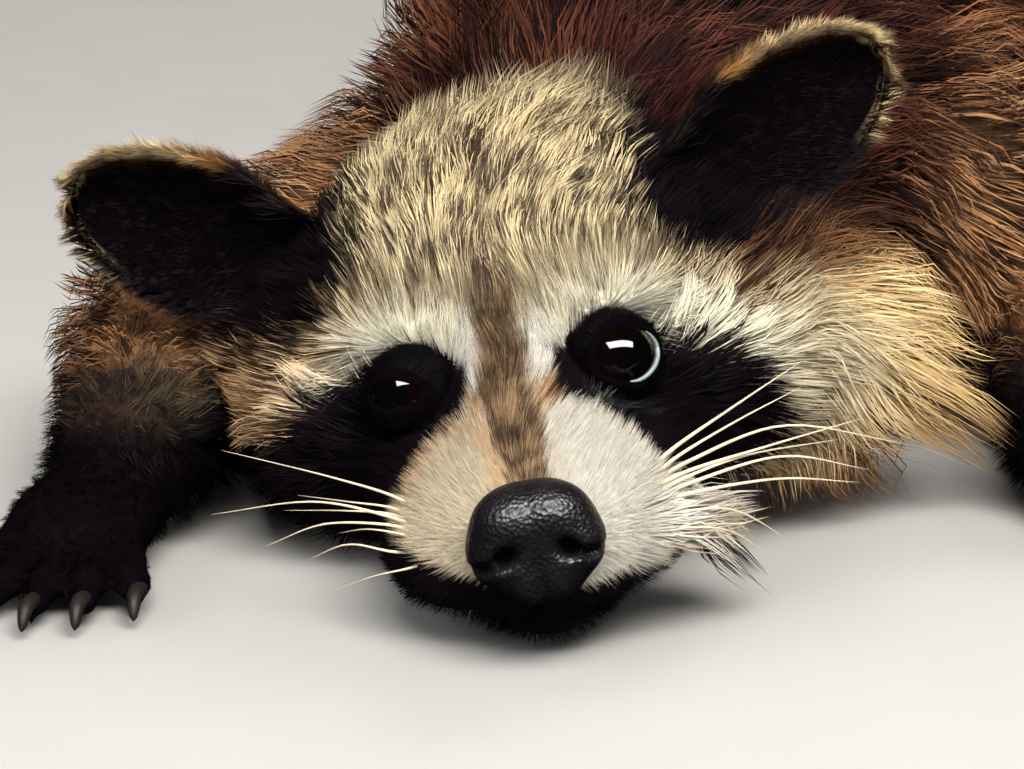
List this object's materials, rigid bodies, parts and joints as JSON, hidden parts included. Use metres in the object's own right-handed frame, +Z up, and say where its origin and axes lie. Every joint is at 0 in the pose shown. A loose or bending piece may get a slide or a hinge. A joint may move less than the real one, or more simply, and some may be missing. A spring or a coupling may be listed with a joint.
{
  "type": "raccoon",
  "caption": "Life-size raccoon lying on its belly, chin on the floor between its forepaws, with a masked face, rounded pale-rimmed ears and a ringed tail curled round behind it.",
  "frame": {"origin": "on the floor, under the middle of the animal's bounding box", "axes": "+Z up, -Y the way the face looks, +X the animal's left at the head; the body lies back and to the left of the head"},
  "size_m": [0.4126, 0.6726, 0.1456],
  "materials": {
    "coat_grizzled": "long dense fur, grizzled brown, cream and black",
    "coat_head": "fur, cream with a black mask",
    "coat_dark": "short black-brown fur",
    "coat_tail": "bushy fur, tan with dark rings",
    "nose_skin": "moist, finely pebbled",
    "eye": "wet gloss"
  },
  "bodies": {
    "root": {"head": "coat_head", "lower_jaw": "coat_dark", "nose": "nose_skin", "eye_left": "eye", "eye_right": "eye", "ear_left": "coat_dark", "ear_right": "coat_dark", "neck": "coat_grizzled", "chest": "coat_grizzled", "belly": "coat_grizzled", "rump": "coat_grizzled", "tail_base": "coat_tail", "tail_middle": "coat_tail", "tail_tip": "coat_tail", "foreleg_left_upper": "coat_grizzled", "foreleg_left_lower": "coat_dark", "forepaw_left": "coat_dark", "foreleg_right_upper": "coat_grizzled", "foreleg_right_lower": "coat_dark", "forepaw_right": "coat_dark", "hindleg_left_upper": "coat_grizzled", "hindleg_left_lower": "coat_grizzled", "hindfoot_left": "coat_dark", "hindleg_right_upper": "coat_grizzled", "hindleg_right_lower": "coat_grizzled", "hindfoot_right": "coat_dark"}
  },
  "joints": []
}
